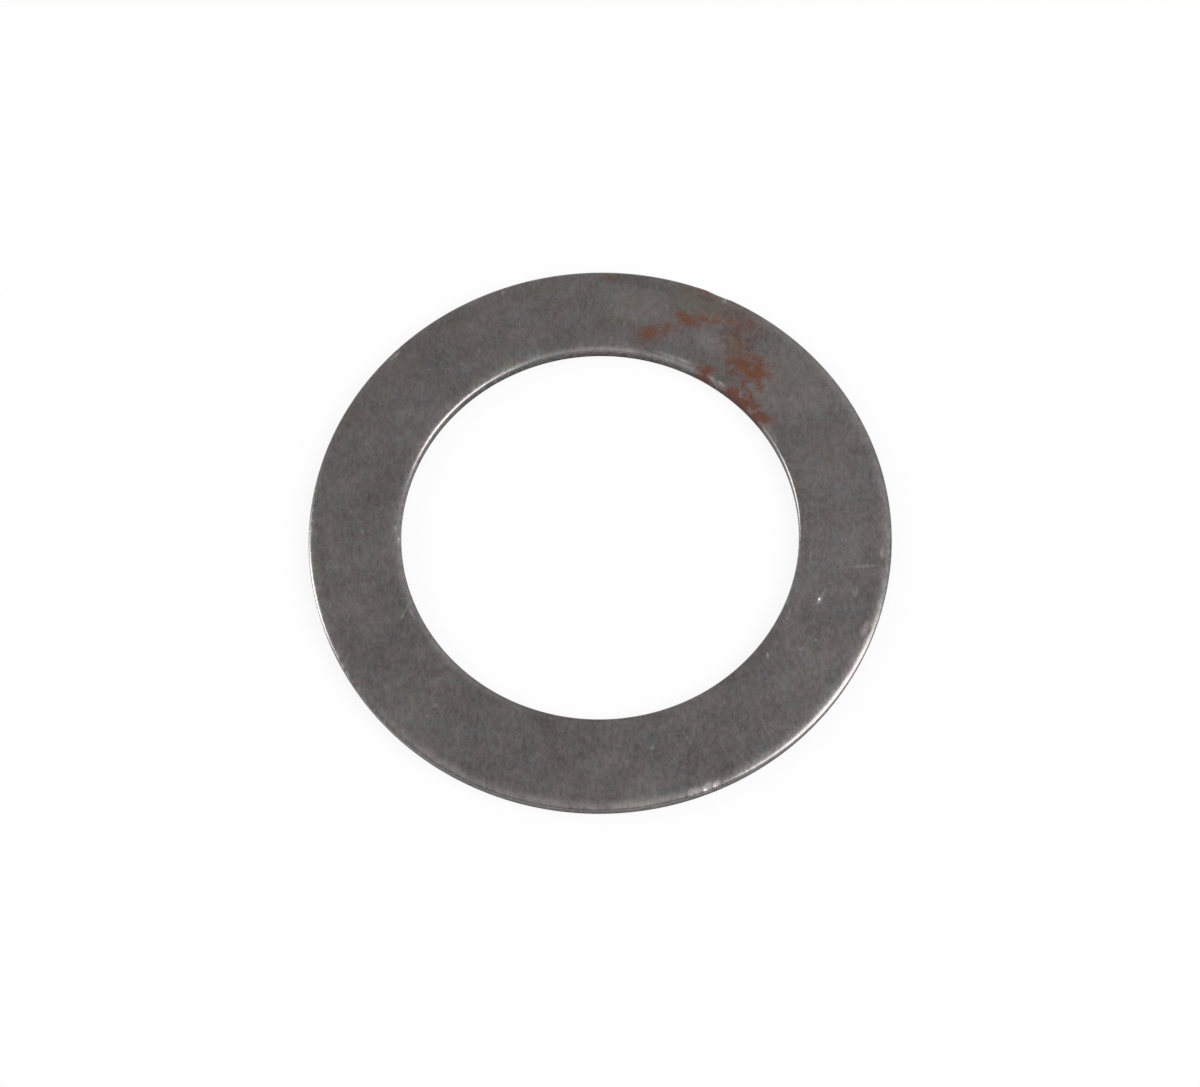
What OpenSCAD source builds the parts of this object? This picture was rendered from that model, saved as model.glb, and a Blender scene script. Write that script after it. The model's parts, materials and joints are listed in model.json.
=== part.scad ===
// Spacer washer: one flat ring, blanked and pierced from sheet steel in a
// single stroke. It lies with the side that the punch entered facing up, so
// both upper edges are rolled over and both lower edges are torn and tumbled.
// Millimetres, +Z up. The origin is the middle of the ring, on the surface
// that it lies on.

/* [Ring] */
// Diameter over the outer wall
outer_d = 47.6; // [38:0.1:90]
// Diameter of the bore
bore_d = 32.5; // [8:0.1:42]
// Thickness of the sheet
sheet_t = 1.25; // [0.95:0.05:3]

/* [Upper edges] */
// How far in from each wall the upper edge is rolled over
rollover_w = 1.05; // [0.1:0.05:2]
// How far the rolled edge sinks below the upper face
rollover_h = 0.3; // [0.05:0.01:0.5]

/* [Walls] */
// Height of the smooth burnished band, which is the full diameter
burnish_h = 0.45; // [0.1:0.05:0.75]
// How far the torn band below it draws back by the time it meets the lower face
tear_draw = 0.04; // [0.01:0.01:0.2]

/* [Lower edges] */
// Radius that tumbling leaves on the lower edges
tumbled_r = 0.1; // [0.02:0.01:0.25]

/* [Hidden] */
$fn = 180;

outer_r = outer_d / 2;
bore_r = bore_d / 2;
ring_w = outer_r - bore_r;

// The torn band takes what the rolled edge and the burnished band leave
tear_h = sheet_t - rollover_h - burnish_h;
tear_l = norm([tear_draw, tear_h]);

// How far the shapes that trim a corner reach past the metal
trim = 1;

// The three modules below each draw what is missing from a square corner of
// the blank. That corner is at the origin, with the metal to its left.

// Upper corner: the sheet is pulled down into the die along a quarter ellipse
module rolled_corner() {
  translate([-rollover_w, -rollover_h])
    difference() {
      square([rollover_w + trim, rollover_h + trim]);
      scale([rollover_w, rollover_h]) circle(r = 1);
    }
}

// Lower corner: the sheet breaks away on a slant under the burnished band
module torn_corner() {
  polygon([[0, tear_h], [-tear_draw, 0], [-tear_draw, -trim], [trim, -trim], [trim, tear_h]]);
}

// Lower corner: an arc that touches the slant and the lower face
module tumbled_corner() {
  wall_side = [tear_h, -tear_draw] / tear_l * trim;
  face_side = [0, -trim];
  translate([-tear_draw - tumbled_r * (tear_l - tear_draw) / tear_h, tumbled_r])
    difference() {
      polygon([[0, 0], wall_side, wall_side + face_side, face_side]);
      circle(r = tumbled_r);
    }
}

// Everything that shearing and tumbling take from one wall of the blank
module sheared_wall() {
  translate([0, sheet_t]) rolled_corner();
  torn_corner();
  tumbled_corner();
}

// Half section of the ring, with the axis at x = 0
module ring_section() {
  difference() {
    translate([bore_r, 0]) square([ring_w, sheet_t]);
    translate([outer_r, 0]) sheared_wall();
    translate([bore_r, 0]) mirror([1, 0]) sheared_wall();
  }
}

module washer_ring() {
  color("dimgray") rotate_extrude() ring_section();
}

washer_ring();
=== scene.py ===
import json
import math

import bmesh
import bpy
import numpy
from mathutils import Euler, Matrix, Quaternion, Vector, kdtree, noise


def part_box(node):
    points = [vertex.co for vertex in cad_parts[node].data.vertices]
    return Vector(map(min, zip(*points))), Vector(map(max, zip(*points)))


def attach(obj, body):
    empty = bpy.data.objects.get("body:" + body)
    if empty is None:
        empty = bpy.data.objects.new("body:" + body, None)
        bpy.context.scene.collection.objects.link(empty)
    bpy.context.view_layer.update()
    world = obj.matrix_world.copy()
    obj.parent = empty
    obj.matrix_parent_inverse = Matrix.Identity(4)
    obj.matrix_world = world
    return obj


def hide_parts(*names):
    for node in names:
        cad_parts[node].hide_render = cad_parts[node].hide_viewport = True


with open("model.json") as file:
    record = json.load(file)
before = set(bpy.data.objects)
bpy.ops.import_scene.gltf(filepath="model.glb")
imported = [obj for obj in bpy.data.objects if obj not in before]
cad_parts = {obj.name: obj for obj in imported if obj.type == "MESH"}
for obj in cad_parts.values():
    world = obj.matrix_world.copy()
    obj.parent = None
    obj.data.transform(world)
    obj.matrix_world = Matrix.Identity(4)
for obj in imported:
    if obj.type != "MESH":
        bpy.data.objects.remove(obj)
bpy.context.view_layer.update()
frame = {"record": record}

# Washer blank
# One flat ring of cold rolled sheet steel, blanked and pierced in a single stroke of a press.
# The stroke rolls both upper edges over, burnishes the walls below them and tears the rest away.
MM = 0.001
hair = 0.001 * MM  # distances below this are rounding
low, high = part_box("washer_ring")
bore = next(mount for mount in frame["record"]["mounts"] if mount["name"] == "bore")
outer_r = min(high.x, high.y, -low.x, -low.y) - hair
bore_r = bore["dims"]["r_mm"] * MM
middle_r = (outer_r + bore_r) / 2
sheet_t = high.z
rollover_w = 1.05 * MM
rollover_h = 0.3 * MM
burnish_h = 0.45 * MM
tear_draw = 0.04 * MM
tumbled_r = 0.1 * MM
tear_h = sheet_t - rollover_h - burnish_h
below_roll = sheet_t - rollover_h

# The section is drawn squeezed along X, so that round corners become flat ellipses when it is let out.
squeeze = rollover_h / rollover_w
roll_segments = 12
tumble_segments = 3
corners = [
    (bore_r, tear_h),
    (bore_r, sheet_t),
    (outer_r, sheet_t),
    (outer_r, tear_h),
    (outer_r - tear_draw, 0),
    (bore_r + tear_draw, 0),
]
ring = bmesh.new()
ring.faces.new([ring.verts.new((x * squeeze, 0, z)) for x, z in corners])
bmesh.ops.bevel(
    ring,
    geom=[v for v in ring.verts if v.co.z > below_roll],
    offset=rollover_h,
    affect="VERTICES",
    segments=roll_segments,
    profile=0.5,
    material=-1,
)
bmesh.ops.scale(ring, vec=(1 / squeeze, 1, 1), verts=ring.verts)
bmesh.ops.bevel(
    ring,
    geom=[v for v in ring.verts if v.co.z < tear_h / 2],
    offset=tumbled_r,
    affect="VERTICES",
    segments=tumble_segments,
    profile=0.5,
    material=-1,
)
bmesh.ops.delete(ring, geom=ring.faces[:], context="FACES_ONLY")

# Only the outline is left. The sides along the two faces are cut up, and the taller ones on the walls.
long_side = 2 * MM
upper_cuts = 30
lower_cuts = 3
wall_cuts = 2
for side in ring.edges[:]:
    reach = abs(side.verts[0].co.x - side.verts[1].co.x)
    drop = abs(side.verts[0].co.z - side.verts[1].co.z)
    if reach > long_side:
        cuts = upper_cuts if side.verts[0].co.z > tear_h else lower_cuts
        bmesh.ops.subdivide_edges(ring, edges=[side], cuts=cuts)
    elif drop > 2 * tumbled_r:
        bmesh.ops.subdivide_edges(ring, edges=[side], cuts=wall_cuts)

# A sector is spun first and then repeated round the axis.
sectors = 32
steps = 30
sector = math.tau / sectors
bmesh.ops.spin(
    ring, geom=ring.verts[:] + ring.edges[:], axis=(0, 0, 1), cent=(0, 0, 0), angle=sector, steps=steps
)
bmesh.ops.spin(
    ring,
    geom=ring.verts[:] + ring.edges[:] + ring.faces[:],
    axis=(0, 0, 1),
    cent=(0, 0, 0),
    angle=math.tau - sector,
    steps=sectors - 1,
    use_duplicate=True,
)
bmesh.ops.remove_doubles(ring, verts=ring.verts, dist=hair)
bmesh.ops.recalc_face_normals(ring, faces=ring.faces)

# Spinning leaves edges and faces in no fixed order. They are laid anew in the order of their corners,
# so that the mesh comes out the same each time.
spun = ring
spun.verts.index_update()
ring = bmesh.new()
laid = [ring.verts.new(v.co) for v in spun.verts]
for face in sorted(spun.faces, key=lambda face: sorted(v.index for v in face.verts)):
    ring.faces.new([laid[v.index] for v in face.verts])
spun.free()

# The map spreads the upper face and both walls as one flat ring, and lays the lower face in its middle.
bake_map = ring.loops.layers.uv.new("OFBake")
map_margin = 0.2 * MM
map_half = outer_r + sheet_t + map_margin
lower_share = 0.62
for face in ring.faces:
    face.smooth = True
    lies_below = all(v.co.z < hair for v in face.verts)
    for corner in face.loops:
        point = corner.vert.co
        radius = point.xy.length
        drop = sheet_t - point.z
        if lies_below:
            spread = radius * lower_share
        elif radius > middle_r:
            spread = radius + drop
        else:
            spread = radius - drop
        corner[bake_map].uv = point.xy / radius * spread / map_half / 2 + Vector((0.5, 0.5))

# Knocks
# Years in a parts bin have scratched and dinged the upper face and nicked the rolled edges.
# Each is (x, y, half length, half width, turn in degrees, depth), all but the turn in millimetres.
knocks = [
    (17.52, -6.86, 0.12, 0.24, -22, 0.05),
    (17.85, -6.3, 0.75, 0.16, 55, 0.007),
    (20.3, -6.3, 0.09, 0.4, 8, 0.006),
    (20.5, -6.3, 0.09, 0.4, -6, 0.006),
    (20.4, -6.6, 0.22, 0.1, 0, 0.005),
    (21.3, -4.05, 1.5, 0.18, 2, 0.004),
    (21.0, -9.5, 0.65, 0.38, 60, 0.016),
    (21.05, -9.75, 0.35, 0.22, 40, 0.012),
    (14.6, -8.65, 0.5, 0.09, -50, 0.006),
    (14.85, -8.4, 0.4, 0.08, -50, 0.006),
    (15.05, -7.7, 0.4, 0.08, 70, 0.003),
    (13.09, -11.45, 0.08, 0.25, 14, 0.03),
    (17.0, -10.3, 0.08, 0.1, 0, 0.02),
    (15.74, -10.98, 0.3, 0.26, 0, 0.003),
    (17.05, -2.9, 0.14, 0.5, -10, 0.003),
    (18.15, -3.04, 0.12, 0.15, 0, 0.004),
    (-15.8, -6.5, 1.0, 0.11, 66, 0.006),
    (-16.1, -7.1, 0.25, 0.13, 50, 0.01),
    (-15.32, -6.85, 0.5, 0.16, -62, 0.006),
    (-17.65, -1.41, 0.28, 0.16, 40, 0.006),
    (-20.35, 2.14, 0.12, 0.28, 0, 0.007),
    (-19.35, 0.4, 0.12, 0.25, 0, 0.003),
    (-16.62, 0.65, 0.16, 0.4, 0, 0.008),
    (-16.42, -0.42, 0.1, 0.22, 0, 0.02),
    (-9.66, 16.6, 0.09, 0.42, 8, 0.008),
    (-12.15, 14.85, 0.07, 0.3, 5, 0.004),
    (-11.1, 15.4, 0.07, 0.35, 15, 0.003),
    (-6.16, 18.9, 0.1, 0.3, 5, 0.005),
    (3.59, -18.88, 0.2, 0.22, 0, 0.009),
    (6.35, -18.1, 0.18, 0.12, 30, 0.004),
    (-13.5, -14.78, 0.24, 0.2, 40, 0.006),
    (-14.15, -15.6, 0.12, 0.25, -30, 0.004),
    # The next three nicks on the outer rolled edge are brightened with painted glints.
    (6.75, -22.5, 0.55, 0.3, 15, 0.016),
    (7.8, -22.2, 0.42, 0.32, 40, 0.02),
    (8.55, -21.95, 0.4, 0.26, 25, 0.012),
    (22.85, -3.0, 0.22, 0.5, -8, 0.012),
    (-17.0, 16.1, 0.16, 0.14, 45, 0.02),
    (-16.65, 16.45, 0.28, 0.13, 45, 0.035),
    (-7.55, 22.0, 0.1, 0.4, 0, 0.012),
    (-7.6, 22.05, 0.3, 0.1, 10, 0.01),
    (11.25, 20.5, 0.14, 0.2, 30, 0.025),
    (10.8, 21.2, 1.1, 0.45, -27, 0.06),
    # The last four lie on the bore's rolled edge, where their bright marks are painted glints.
    (6.2, 15.55, 1.6, 0.25, -22, 0.004),
    (7.5, 14.95, 0.9, 0.2, -27, 0.012),
    (10.55, 12.75, 0.35, 0.12, -48, 0.02),
    (9.75, 13.35, 0.25, 0.1, -40, 0.025),
]
# The mesh is made finer this far round each knock, and searched a little further out, in millimetres.
fine_margin = 0.2
search_margin = 0.3
fine_cuts = 2


def oval(x, y, turn, half_length, half_width, at_x, at_y):
    """How far a point lies from the middle of an oval: 1 on its outline."""
    along, across = math.cos(math.radians(turn)), math.sin(math.radians(turn))
    ahead = ((at_x - x) * along + (at_y - y) * across) / half_length
    aside = ((at_y - y) * along - (at_x - x) * across) / half_width
    return numpy.hypot(ahead, aside)


def near(parts, points):
    """The parts whose points lie close to a knock, one list for each knock."""
    tree = kdtree.KDTree(len(points))
    for index, point in enumerate(points):
        tree.insert(point, index)
    tree.balance()
    found = []
    for x, y, half_length, half_width, _, _ in knocks:
        middle = Vector((x * MM, y * MM, sheet_t))
        reach = (max(half_length, half_width) + search_margin) * MM
        found.append([parts[index] for _, index, _ in tree.find_range(middle, reach)])
    return found


ring.faces.ensure_lookup_table()
fine_edges = {}  # a dictionary keeps its order, so the mesh comes out the same each time
for knock, close in zip(knocks, near(ring.faces, [face.calc_center_median() for face in ring.faces])):
    x, y, half_length, half_width, turn, _ = knock
    half_length += fine_margin
    half_width += fine_margin
    for face in close:
        middle = face.calc_center_median() / MM
        if oval(x, y, turn, half_length, half_width, middle.x, middle.y) < 1:
            fine_edges.update(dict.fromkeys(face.edges))
bmesh.ops.subdivide_edges(ring, edges=list(fine_edges), cuts=fine_cuts, use_grid_fill=True)
ring.normal_update()
ring.verts.ensure_lookup_table()
for knock, close in zip(knocks, near(ring.verts, [v.co.copy() for v in ring.verts])):
    x, y, half_length, half_width, turn, depth = knock
    for v in close:
        gap = oval(x, y, turn, half_length, half_width, v.co.x / MM, v.co.y / MM)
        if gap < 1:
            v.co -= v.normal * depth * MM * (1 - gap * gap)

# Below the burnished band the sheet broke, which left the wall rough with cracks that run up it.
smooth_margin = 0.02 * MM
crack_depth = 0.05  # millimetres
cracks_along = 2.5  # per millimetre
cracks_up = 1.5
for v in ring.verts:
    if tumbled_r / 2 < v.co.z < tear_h - smooth_margin:
        away = Vector((v.co.x, v.co.y, 0)).normalized()
        into_metal = -away if v.co.xy.length > middle_r else away
        crack = noise.noise(
            Vector((v.co.x / MM * cracks_along, v.co.y / MM * cracks_along, v.co.z / MM * cracks_up))
        )
        v.co += into_metal * abs(crack) * crack_depth * MM

ring_mesh = bpy.data.meshes.new("washer_ring_steel")
ring.to_mesh(ring_mesh)
ring.free()
washer = bpy.data.objects.new("washer_ring_steel", ring_mesh)
bpy.context.collection.objects.link(washer)
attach(washer, "root")
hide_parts("washer_ring")


# Mill finish
# Bare steel with the satin skin that cold rolling leaves, faintly streaked along the sheet and mottled by
# age in blue grey, maroon and olive. The rolled edges are rubbed smoother, and the walls get painted
# shade.
class Field:
    """A value that changes over the surface. Arithmetic on it adds Math nodes to its material."""

    def __init__(self, socket):
        self.socket = socket

    def node(self, kind, settings, inputs, output=0):
        """Adds a node of this kind, sets it up, and feeds its sockets by name or number."""
        tree = self.socket.id_data
        made = tree.nodes.new(kind)
        for name, value in settings.items():
            setattr(made, name, value)
        for name, value in inputs.items():
            if isinstance(value, Field):
                tree.links.new(value.socket, made.inputs[name])
            else:
                made.inputs[name].default_value = value
        return Field(made.outputs[output])

    def math(self, operation, *values):
        return self.node("ShaderNodeMath", {"operation": operation}, dict(enumerate(values)))

    def __add__(self, other):
        return self.math("ADD", self, other)

    def __sub__(self, other):
        return self.math("SUBTRACT", self, other)

    def __rsub__(self, other):
        return self.math("SUBTRACT", other, self)

    def __mul__(self, other):
        return self.math("MULTIPLY", self, other)

    __radd__ = __add__
    __rmul__ = __mul__

    def least(self, other):
        return self.math("MINIMUM", self, other)

    def most(self, other):
        return self.math("MAXIMUM", self, other)

    def step(self, start, end):
        """Climbs smoothly from 0 at start to 1 at end."""
        settings = {"interpolation_type": "SMOOTHSTEP"}
        inputs = {"Value": self, "From Min": start, "From Max": end}
        return self.node("ShaderNodeMapRange", settings, inputs)


steel = bpy.data.materials.new("bare_steel")
steel.use_nodes = True
shader = steel.node_tree.nodes["Principled BSDF"]
ring_mesh.materials.append(steel)

metres = Field(shader.outputs["BSDF"]).node("ShaderNodeTexCoord", {}, {}, "Object")
place = metres.node("ShaderNodeVectorMath", {"operation": "SCALE"}, {0: metres, "Scale": 1 / MM})
plan = place.node("ShaderNodeVectorMath", {"operation": "MULTIPLY"}, {0: place, 1: (1, 1, 0)})
height = place.node("ShaderNodeSeparateXYZ", {}, {0: place}, "Z")
from_axis = plan.node("ShaderNodeVectorMath", {"operation": "LENGTH"}, {0: plan}, "Value")


def mottle(size, detail=2.0, stretch=(1, 1, 1), shift=0.0):
    """Noise from 0 to 1 in spots of about this size in millimetres."""
    inputs = {"Vector": place, "Location": (shift, shift, shift), "Scale": stretch}
    spread = place.node("ShaderNodeMapping", {}, inputs)
    inputs = {"Vector": spread, "Scale": 1 / size, "Detail": detail, "Roughness": 0.6}
    return place.node("ShaderNodeTexNoise", {}, inputs)


def blend(factor, first, second):
    """Mixes two colours."""
    settings = {"data_type": "RGBA"}
    return factor.node("ShaderNodeMix", settings, {0: factor, 6: first, 7: second}, 2)


# Where a point lies, from 0 to 1: on a rolled edge, on the upper side, on a wall, and on its torn part.
from_wall = (outer_r / MM - from_axis).least(from_axis - bore_r / MM)
rolled = (1 - from_wall.step(0.1, rollover_w / MM)) * height.step(0.0, 0.15)
upper = height.step(0.5, 0.9)
roll_foot = below_roll / MM
wall = (1 - height.step(roll_foot - 0.06, roll_foot + 0.06)) * (1 - from_wall.step(0.08, 0.14))
torn_line = tear_h / MM + 0.25 * (mottle(0.5, 3.0, shift=41.0) - 0.5)
torn = wall * (1 - (height - torn_line).step(-0.03, 0.03))

# The skin's brightness is mottled at four sizes, and its colour at three more.
clouds = mottle(6.0, 2.0)
patches = mottle(1.8, 3.0, shift=5.0)
streaks = mottle(0.42, 3.0, (1.5, 0.75, 1.0), 9.0)
grain = mottle(0.13, 2.0, (1.15, 0.7, 1.0), 3.0)
shade = 0.97 + 0.6 * (clouds - 0.5) + 0.5 * (patches - 0.5)
shade = shade + 0.62 * (streaks - 0.5) + 0.46 * (grain - 0.5)
blue_grey = (0.204, 0.207, 0.206, 1)
maroon = (0.222, 0.192, 0.195, 1)
olive = (0.211, 0.207, 0.181, 1)
tint = blend(mottle(0.9, 4.0, shift=13.0).step(0.38, 0.62), blue_grey, maroon)
tint = blend(0.8 * mottle(1.8, 5.0, shift=17.0).step(0.42, 0.66), tint, olive)
tint = blend(0.5 * mottle(3.5, 2.0, shift=19.0).step(0.4, 0.6), tint, maroon)
rough = 0.42 - 0.16 * rolled + 0.25 * (streaks - 0.5) + 0.2 * wall + 0.15 * torn
relief = (0.004 * streaks + 0.002 * grain + 0.006 * patches) * (1 - 0.6 * rolled)

# Rust
# Damp has left spots of dry orange rust on one side of the upper face, feathered at their edges.
# Each is (x, y, half length, half width, turn in degrees, strength).
rust_spots = [
    (4.7, 17.6, 0.75, 0.5, 0, 1.45),
    (5.6, 17.6, 0.6, 0.25, 0, 0.9),
    (6.3, 18.2, 0.7, 0.5, 25, 0.85),
    (7.9, 18.8, 0.9, 0.55, -20, 1.05),
    (7.4, 19.3, 0.4, 0.4, 0, 0.9),
    (9.2, 18.9, 0.7, 0.4, 0, 0.75),
    (10.4, 18.6, 0.6, 0.4, 10, 0.8),
    (11.5, 18.6, 0.5, 0.4, 0, 0.6),
    (12.35, 18.0, 0.35, 1.1, 0, 0.35),
    (11.9, 17.3, 0.8, 0.6, 0, 0.35),
    (12.15, 16.2, 0.5, 1.0, 0, 0.45),
    (13.4, 18.2, 0.5, 0.5, 0, 0.65),
    (12.1, 14.7, 1.1, 0.5, -15, 1.1),
    (13.2, 15.25, 0.8, 0.28, 0, 1.0),
    (12.6, 14.2, 1.1, 0.6, -60, 1.3),
    (13.5, 13.7, 1.0, 0.7, 0, 1.3),
    (14.05, 14.4, 0.4, 0.7, 0, 0.85),
    (14.1, 13.4, 0.4, 0.4, 0, 1.0),
    (13.65, 12.7, 0.4, 0.7, 0, 0.95),
    (12.45, 12.8, 0.35, 0.8, 0, 0.85),
    (11.65, 13.9, 0.6, 0.3, 0, 0.95),
    (9.2, 14.1, 0.6, 0.7, 0, 1.0),
    (9.1, 13.45, 0.7, 0.4, -35, 1.1),
    (11.45, 11.75, 0.8, 0.5, -45, 1.25),
    (12.2, 10.95, 0.8, 0.55, -45, 1.35),
    (12.95, 11.3, 0.45, 0.7, 0, 0.95),
    (13.3, 10.5, 0.6, 0.5, 0, 1.0),
    (13.3, 9.65, 0.6, 0.7, 0, 1.4),
    (13.7, 9.35, 0.8, 0.4, -10, 1.2),
    (1.35, 23.2, 0.45, 0.3, 0, 0.9),
    (9.55, 21.6, 0.7, 0.3, -25, 0.9),
]
# Between and around them the steel is only browned.
brown_haze = [
    (9.6, 19.2, 2.4, 1.3, 0, 1.3),
    (12.2, 17.3, 1.2, 2.3, 0, 1.9),
    (11.4, 18.8, 1.8, 0.8, 0, 1.5),
    (13.0, 14.1, 2.0, 2.2, 0, 1.1),
    (12.4, 10.9, 2.6, 1.5, -50, 1.1),
    (9.2, 14.0, 1.1, 1.1, -30, 1.0),
    (5.6, 18.0, 2.2, 0.9, 15, 0.8),
    (2.2, 18.7, 2.4, 0.8, 0, 0.7),
    (9.2, 21.5, 1.7, 0.7, -25, 1.6),
    (2.0, 23.1, 1.4, 0.5, -5, 0.9),
    (3.0, 20.3, 0.6, 1.2, 0, 0.6),
    (8.8, 20.4, 1.8, 0.8, -10, 0.7),
]
haze_brown = (0.195, 0.139, 0.125, 1)
rust_dark = (0.098, 0.04, 0.033, 1)
rust_orange = (0.15, 0.056, 0.025, 1)
rust_red = (0.112, 0.038, 0.026, 1)

# The outlines of most spots are swirled, so that they don't look drawn.
swirls_per_mm = 2.2
swirl_seed = 2  # without one, the swirls change from run to run
far_outside = -2.0
points = numpy.empty(len(ring_mesh.vertices) * 3)
ring_mesh.vertices.foreach_get("co", points)
points = points.reshape(-1, 3) / MM
noise.seed_set(swirl_seed)
swirls = numpy.array([noise.noise_vector(Vector(point) * swirls_per_mm) for point in points])


def paint(name, rows, raggedness):
    """Paints oval spots on the mesh, above 0 inside them, and hands their strength to the material."""
    at_x, at_y, _ = (points + raggedness * swirls).T
    strongest = numpy.full(len(points), far_outside)
    for x, y, half_length, half_width, turn, strength in rows:
        gap = oval(x, y, turn, half_length, half_width, at_x, at_y)
        strongest = numpy.maximum(strongest, strength - gap)
    layer = ring_mesh.attributes.new(name, "FLOAT", "POINT")
    layer.data.foreach_set("value", strongest)
    return place.node("ShaderNodeAttribute", {"attribute_name": name}, {}, "Fac")


feather = mottle(0.5, 4.0, shift=21.0)
crumb = mottle(0.14, 3.0, shift=27.0)
ragged = 2.2 * (feather - 0.5) + 1.3 * (crumb - 0.5)
thickness = paint("rust", rust_spots, 0.3) + ragged
bloom = thickness.step(-0.9, 0.3)
crust = thickness.step(-0.4, 0.8)
haze = (paint("haze", brown_haze, 0.5) + 1.6 * ragged).step(-0.1, 1.4) * upper
tint = blend(0.9 * haze, tint, haze_brown)
near_bore = 1 - from_axis.step(16.4, 17.6)
rust = (0.6 * bloom).most(0.92 * crust) * height.step(0.15, 0.6)
orange = (crust + 3.0 * (mottle(0.3, 4.0, shift=31.0) - 0.5)).step(0.3, 1.3)
rust_colour = blend(orange, rust_dark, rust_orange)
rust_colour = blend(near_bore * 0.7, rust_colour, rust_red)

# Wear, with painted glints, shade and sheen
# All but the deepest knock are bright, partly with fresh metal and partly with painted glints, a little
# past their outlines.
# Handling has left dark specks and a tan stain. The rows are laid out as for rust.
deepest = max(depth for x, y, half_length, half_width, turn, depth in knocks)
spill = 1.3
faintest = 0.7
brighter_per_mm = 20
bright_marks = [
    (x, y, half_length * spill, half_width * spill, turn, faintest + depth * brighter_per_mm)
    for x, y, half_length, half_width, turn, depth in knocks
    if depth < deepest
]
dark_marks = [
    (16.3, -7.6, 1.9, 1.5, 0, 0.5),
    (16.6, -3.3, 0.7, 0.5, 0, 0.7),
    (12.92, 16.75, 0.35, 0.35, 0, 1.1),
    (12.8, 15.9, 0.3, 0.4, 0, 1.0),
    (9.6, 20.85, 1.0, 0.5, -10, 1.0),
    (7.9, 20.4, 0.5, 0.5, 0, 0.8),
    (-20.1, 10.8, 0.22, 0.5, 30, 1.1),
    (-20.6, 10.0, 0.2, 0.4, 0, 0.9),
    (-18.7, 11.5, 0.25, 0.3, 0, 0.9),
    (12.25, 17.3, 0.7, 1.9, 0, 0.65),
    (5.6, -17.8, 0.6, 0.6, 0, 0.8),
    (-1.8, -19.4, 1.0, 0.7, 0, 0.6),
]
tan_stain = [
    (-20.3, 10.6, 1.6, 3.0, -28, 0.9),
    (-16.2, 15.6, 3.6, 1.5, 45, 0.8),
    (-11.0, 19.6, 2.6, 1.2, 30, 0.9),
    (-4.5, 22.0, 4.0, 1.0, 10, 0.7),
    (18.6, -6.2, 0.9, 0.6, 50, 0.6),
    (-22.6, 0.0, 0.8, 3.5, 0, 0.6),
    (8.9, 20.6, 2.0, 1.0, -15, 1.7),
    (3.5, 20.8, 5.0, 2.4, -5, 0.8),
    (15.3, 14.8, 1.6, 3.0, 40, 0.6),
    (16.2, 13.0, 4.0, 6.0, 40, 0.55),
    (19.0, 6.5, 4.0, 6.0, 20, 0.4),
]
# Painted shade makes the skin a little duller in front and on the left, and a painted sheen makes it
# paler beside the rust.
painted_shade_spots = [
    (-5.0, -20.0, 13.0, 7.0, 0, 1.0),
    (10.0, -17.0, 10.0, 7.0, 35, 0.8),
    (-14.0, 13.0, 9.0, 8.0, 45, 0.3),
    (17.5, -9.5, 6.0, 5.0, -30, 0.5),
]
painted_sheen_spots = [
    (3.5, 20.5, 4.5, 3.0, -10, 0.7),
    (9.8, 16.4, 2.5, 2.0, -30, 0.6),
    (9.9, 19.0, 3.0, 1.6, -20, 0.6),
    (15.8, 12.6, 4.2, 6.0, 40, 0.8),
]
stain_tan = (0.206, 0.188, 0.15, 1)

# Painted glints and fresh metal: the knocks' bright marks lighten the colour.
scuff_and_glint = (paint("scuff_and_glint", bright_marks, 0.0) + 0.3 * (crumb - 0.5)).most(0.0) * upper
grime = (paint("grime", dark_marks, 0.3) + 0.8 * (feather - 0.5)).step(0.0, 0.9) * upper
stain = (paint("stain", tan_stain, 0.4) + 1.6 * (feather - 0.5)).step(-0.1, 1.0) * upper
# Painted shade and painted sheen: broad areas of the upper face made darker or lighter.
painted_shade = paint("painted_shade", painted_shade_spots, 0.5).step(-0.1, 0.5) * upper
painted_sheen = paint("painted_sheen", painted_sheen_spots, 0.5).step(-0.1, 0.5) * upper
fleck = mottle(0.2, 1.0, shift=51.0)
shade = shade + 0.3 * fleck.step(0.68, 0.8) - 0.22 * (1 - fleck.step(0.22, 0.32))
# Fresh metal with painted glints lightens the knocks, grime darkens, and painted shade and sheen darken
# and lighten broad areas.
shade = shade + 0.85 * scuff_and_glint - 0.4 * grime - 0.11 * painted_shade + 0.26 * painted_sheen
nibbled = mottle(0.4, 3.0, shift=61.0).step(0.35, 0.75)
shade = shade * (1 + (0.2 + 0.3 * nibbled) * rolled)
# Painted shade darkens the walls, standing in for the shadowed floor they reflect; the torn band gets a
# touch more.
shade = shade * (1 - (0.8 - 0.3 * nibbled) * wall - 0.05 * torn)
skin = tint.node("ShaderNodeVectorMath", {"operation": "SCALE"}, {0: tint, "Scale": shade})
skin = blend(stain * 0.5, skin, stain_tan)
colour = blend(rust, skin, rust_colour)
rough = rough + 0.45 * rust - 0.08 * scuff_and_glint + 0.15 * grime
relief = relief + rust * (0.01 + 0.02 * crumb) - 0.01 * scuff_and_glint
bump = relief.node("ShaderNodeBump", {}, {"Height": relief, "Distance": MM})

shader.inputs["Specular IOR Level"].default_value = 0.25
links = steel.node_tree.links
links.new(colour.socket, shader.inputs["Base Color"])
links.new(rough.socket, shader.inputs["Roughness"])
links.new((1 - 0.95 * rust).socket, shader.inputs["Metallic"])
links.new(bump.socket, shader.inputs["Normal"])

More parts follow.
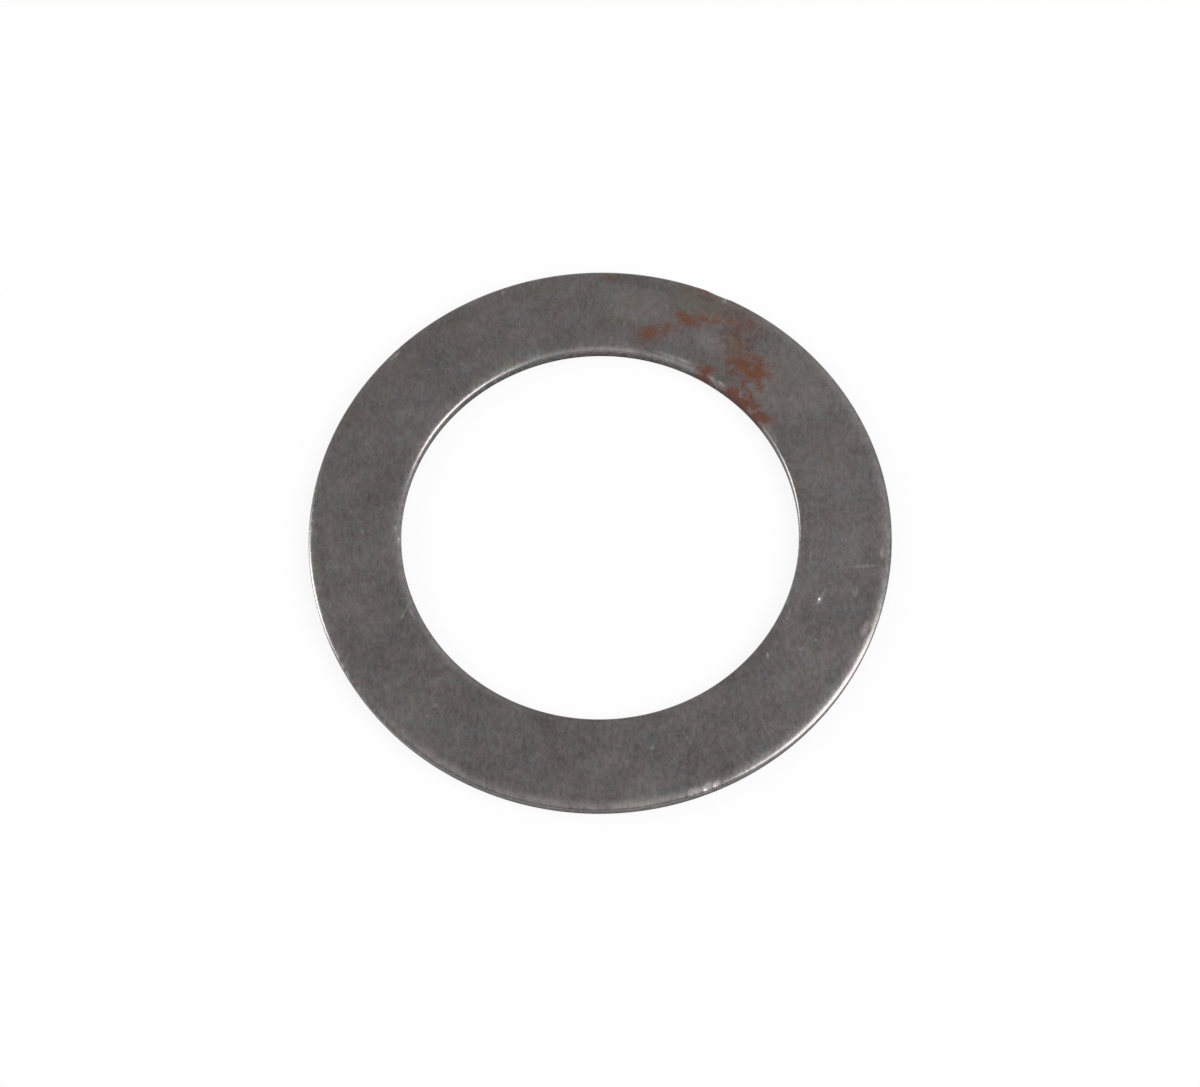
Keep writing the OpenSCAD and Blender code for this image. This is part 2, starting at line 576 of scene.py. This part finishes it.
# Floor
# A wide sheet of matt white card that the washer lies on, a hair's breadth below it.
# It glows for the camera and in reflections, so that it stays nearly white with a faint shadow.
floor_gap = 0.02 * MM
card_half = 2.0
glow_share = 0.88
card = bmesh.new()
bmesh.ops.create_grid(card, x_segments=1, y_segments=1, size=card_half)
bmesh.ops.translate(card, vec=(0, 0, -floor_gap), verts=card.verts)
card_mesh = bpy.data.meshes.new("white_card")
card.to_mesh(card_mesh)
card.free()
floor = bpy.data.objects.new("white_card", card_mesh)
bpy.context.collection.objects.link(floor)
white = bpy.data.materials.new("white_card")
white.use_nodes = True
card_shader = white.node_tree.nodes["Principled BSDF"]
card_shader.inputs["Base Color"].default_value = (0.95, 0.95, 0.95, 1)
card_shader.inputs["Roughness"].default_value = 1.0
card_shader.inputs["Specular IOR Level"].default_value = 0.0
matt = Field(card_shader.outputs["BSDF"])
seen = matt.node("ShaderNodeLightPath", {}, {}, "Is Camera Ray")
for kind in ("Is Glossy Ray", "Is Transmission Ray"):
    seen = seen.most(matt.node("ShaderNodeLightPath", {}, {}, kind))
glow = matt.node("ShaderNodeEmission", {}, {"Color": (1, 1, 1, 1), "Strength": 1.0})
surface = matt.node("ShaderNodeMixShader", {}, {0: glow_share * seen, 1: matt, 2: glow})
output = white.node_tree.nodes["Material Output"]
white.node_tree.links.new(surface.socket, output.inputs["Surface"])
card_mesh.materials.append(white)

# Light
# A bright room with a soft box on each side, a weak one overhead and another behind.
# The two at the sides give the rolled edges their highlights.
room_level = 0.45
lamp_distance = 0.6
world = bpy.data.worlds.new("room")
bpy.context.scene.world = world
world.use_nodes = True
room = world.node_tree.nodes["Background"]
room.inputs["Color"].default_value = (1, 1, 1, 1)
room.inputs["Strength"].default_value = room_level


def soft_box(name, azimuth, elevation, width, tallness, level):
    """A lamp that faces the washer from this direction and looks this bright."""
    lamp = bpy.data.lights.new(name, "AREA")
    lamp.shape = "RECTANGLE"
    lamp.size = width
    lamp.size_y = tallness
    lamp.energy = level * math.pi * width * tallness
    box = bpy.data.objects.new(name, lamp)
    turn = math.radians(azimuth)
    rise = math.radians(elevation)
    away = Vector((math.cos(turn) * math.cos(rise), math.sin(turn) * math.cos(rise), math.sin(rise)))
    box.location = away * lamp_distance
    box.rotation_euler = away.to_track_quat("Z", "Y").to_euler()
    bpy.context.collection.objects.link(box)


soft_box("right_box", azimuth=-20, elevation=40, width=0.4, tallness=0.42, level=4.2)
soft_box("left_box", azimuth=168, elevation=21, width=0.22, tallness=0.28, level=6.2)
soft_box("front_box", azimuth=-105, elevation=68, width=0.5, tallness=0.5, level=0.42)
soft_box("back_box", azimuth=45, elevation=40, width=0.5, tallness=0.5, level=0.25)

# Camera
# It stands where the photograph was taken from, fitted to the outlines of the rim and the bore.
# It looks down on the washer from the front, turned a little about its own line of sight.
photo_width = 1200
focal_px = 2521.2
elevation = math.radians(67.55)
roll = math.radians(1.867)
distance = 206.4 * MM
aim = Vector((-0.023, -0.793, 0)) * MM
camera_data = bpy.data.cameras.new("camera")
camera_data.sensor_width = 36
camera_data.lens = camera_data.sensor_width * focal_px / photo_width
camera_data.clip_start = MM
camera = bpy.data.objects.new("camera", camera_data)
tilt = Euler((math.pi / 2 - elevation, 0, 0)).to_quaternion()
turned = tilt @ Quaternion((0, 0, 1), -roll)
camera.rotation_mode = "QUATERNION"
camera.rotation_quaternion = turned
camera.location = aim + tilt @ Vector((0, 0, distance))
bpy.context.collection.objects.link(camera)
bpy.context.scene.camera = camera

bpy.context.scene.view_settings.view_transform = "Standard"
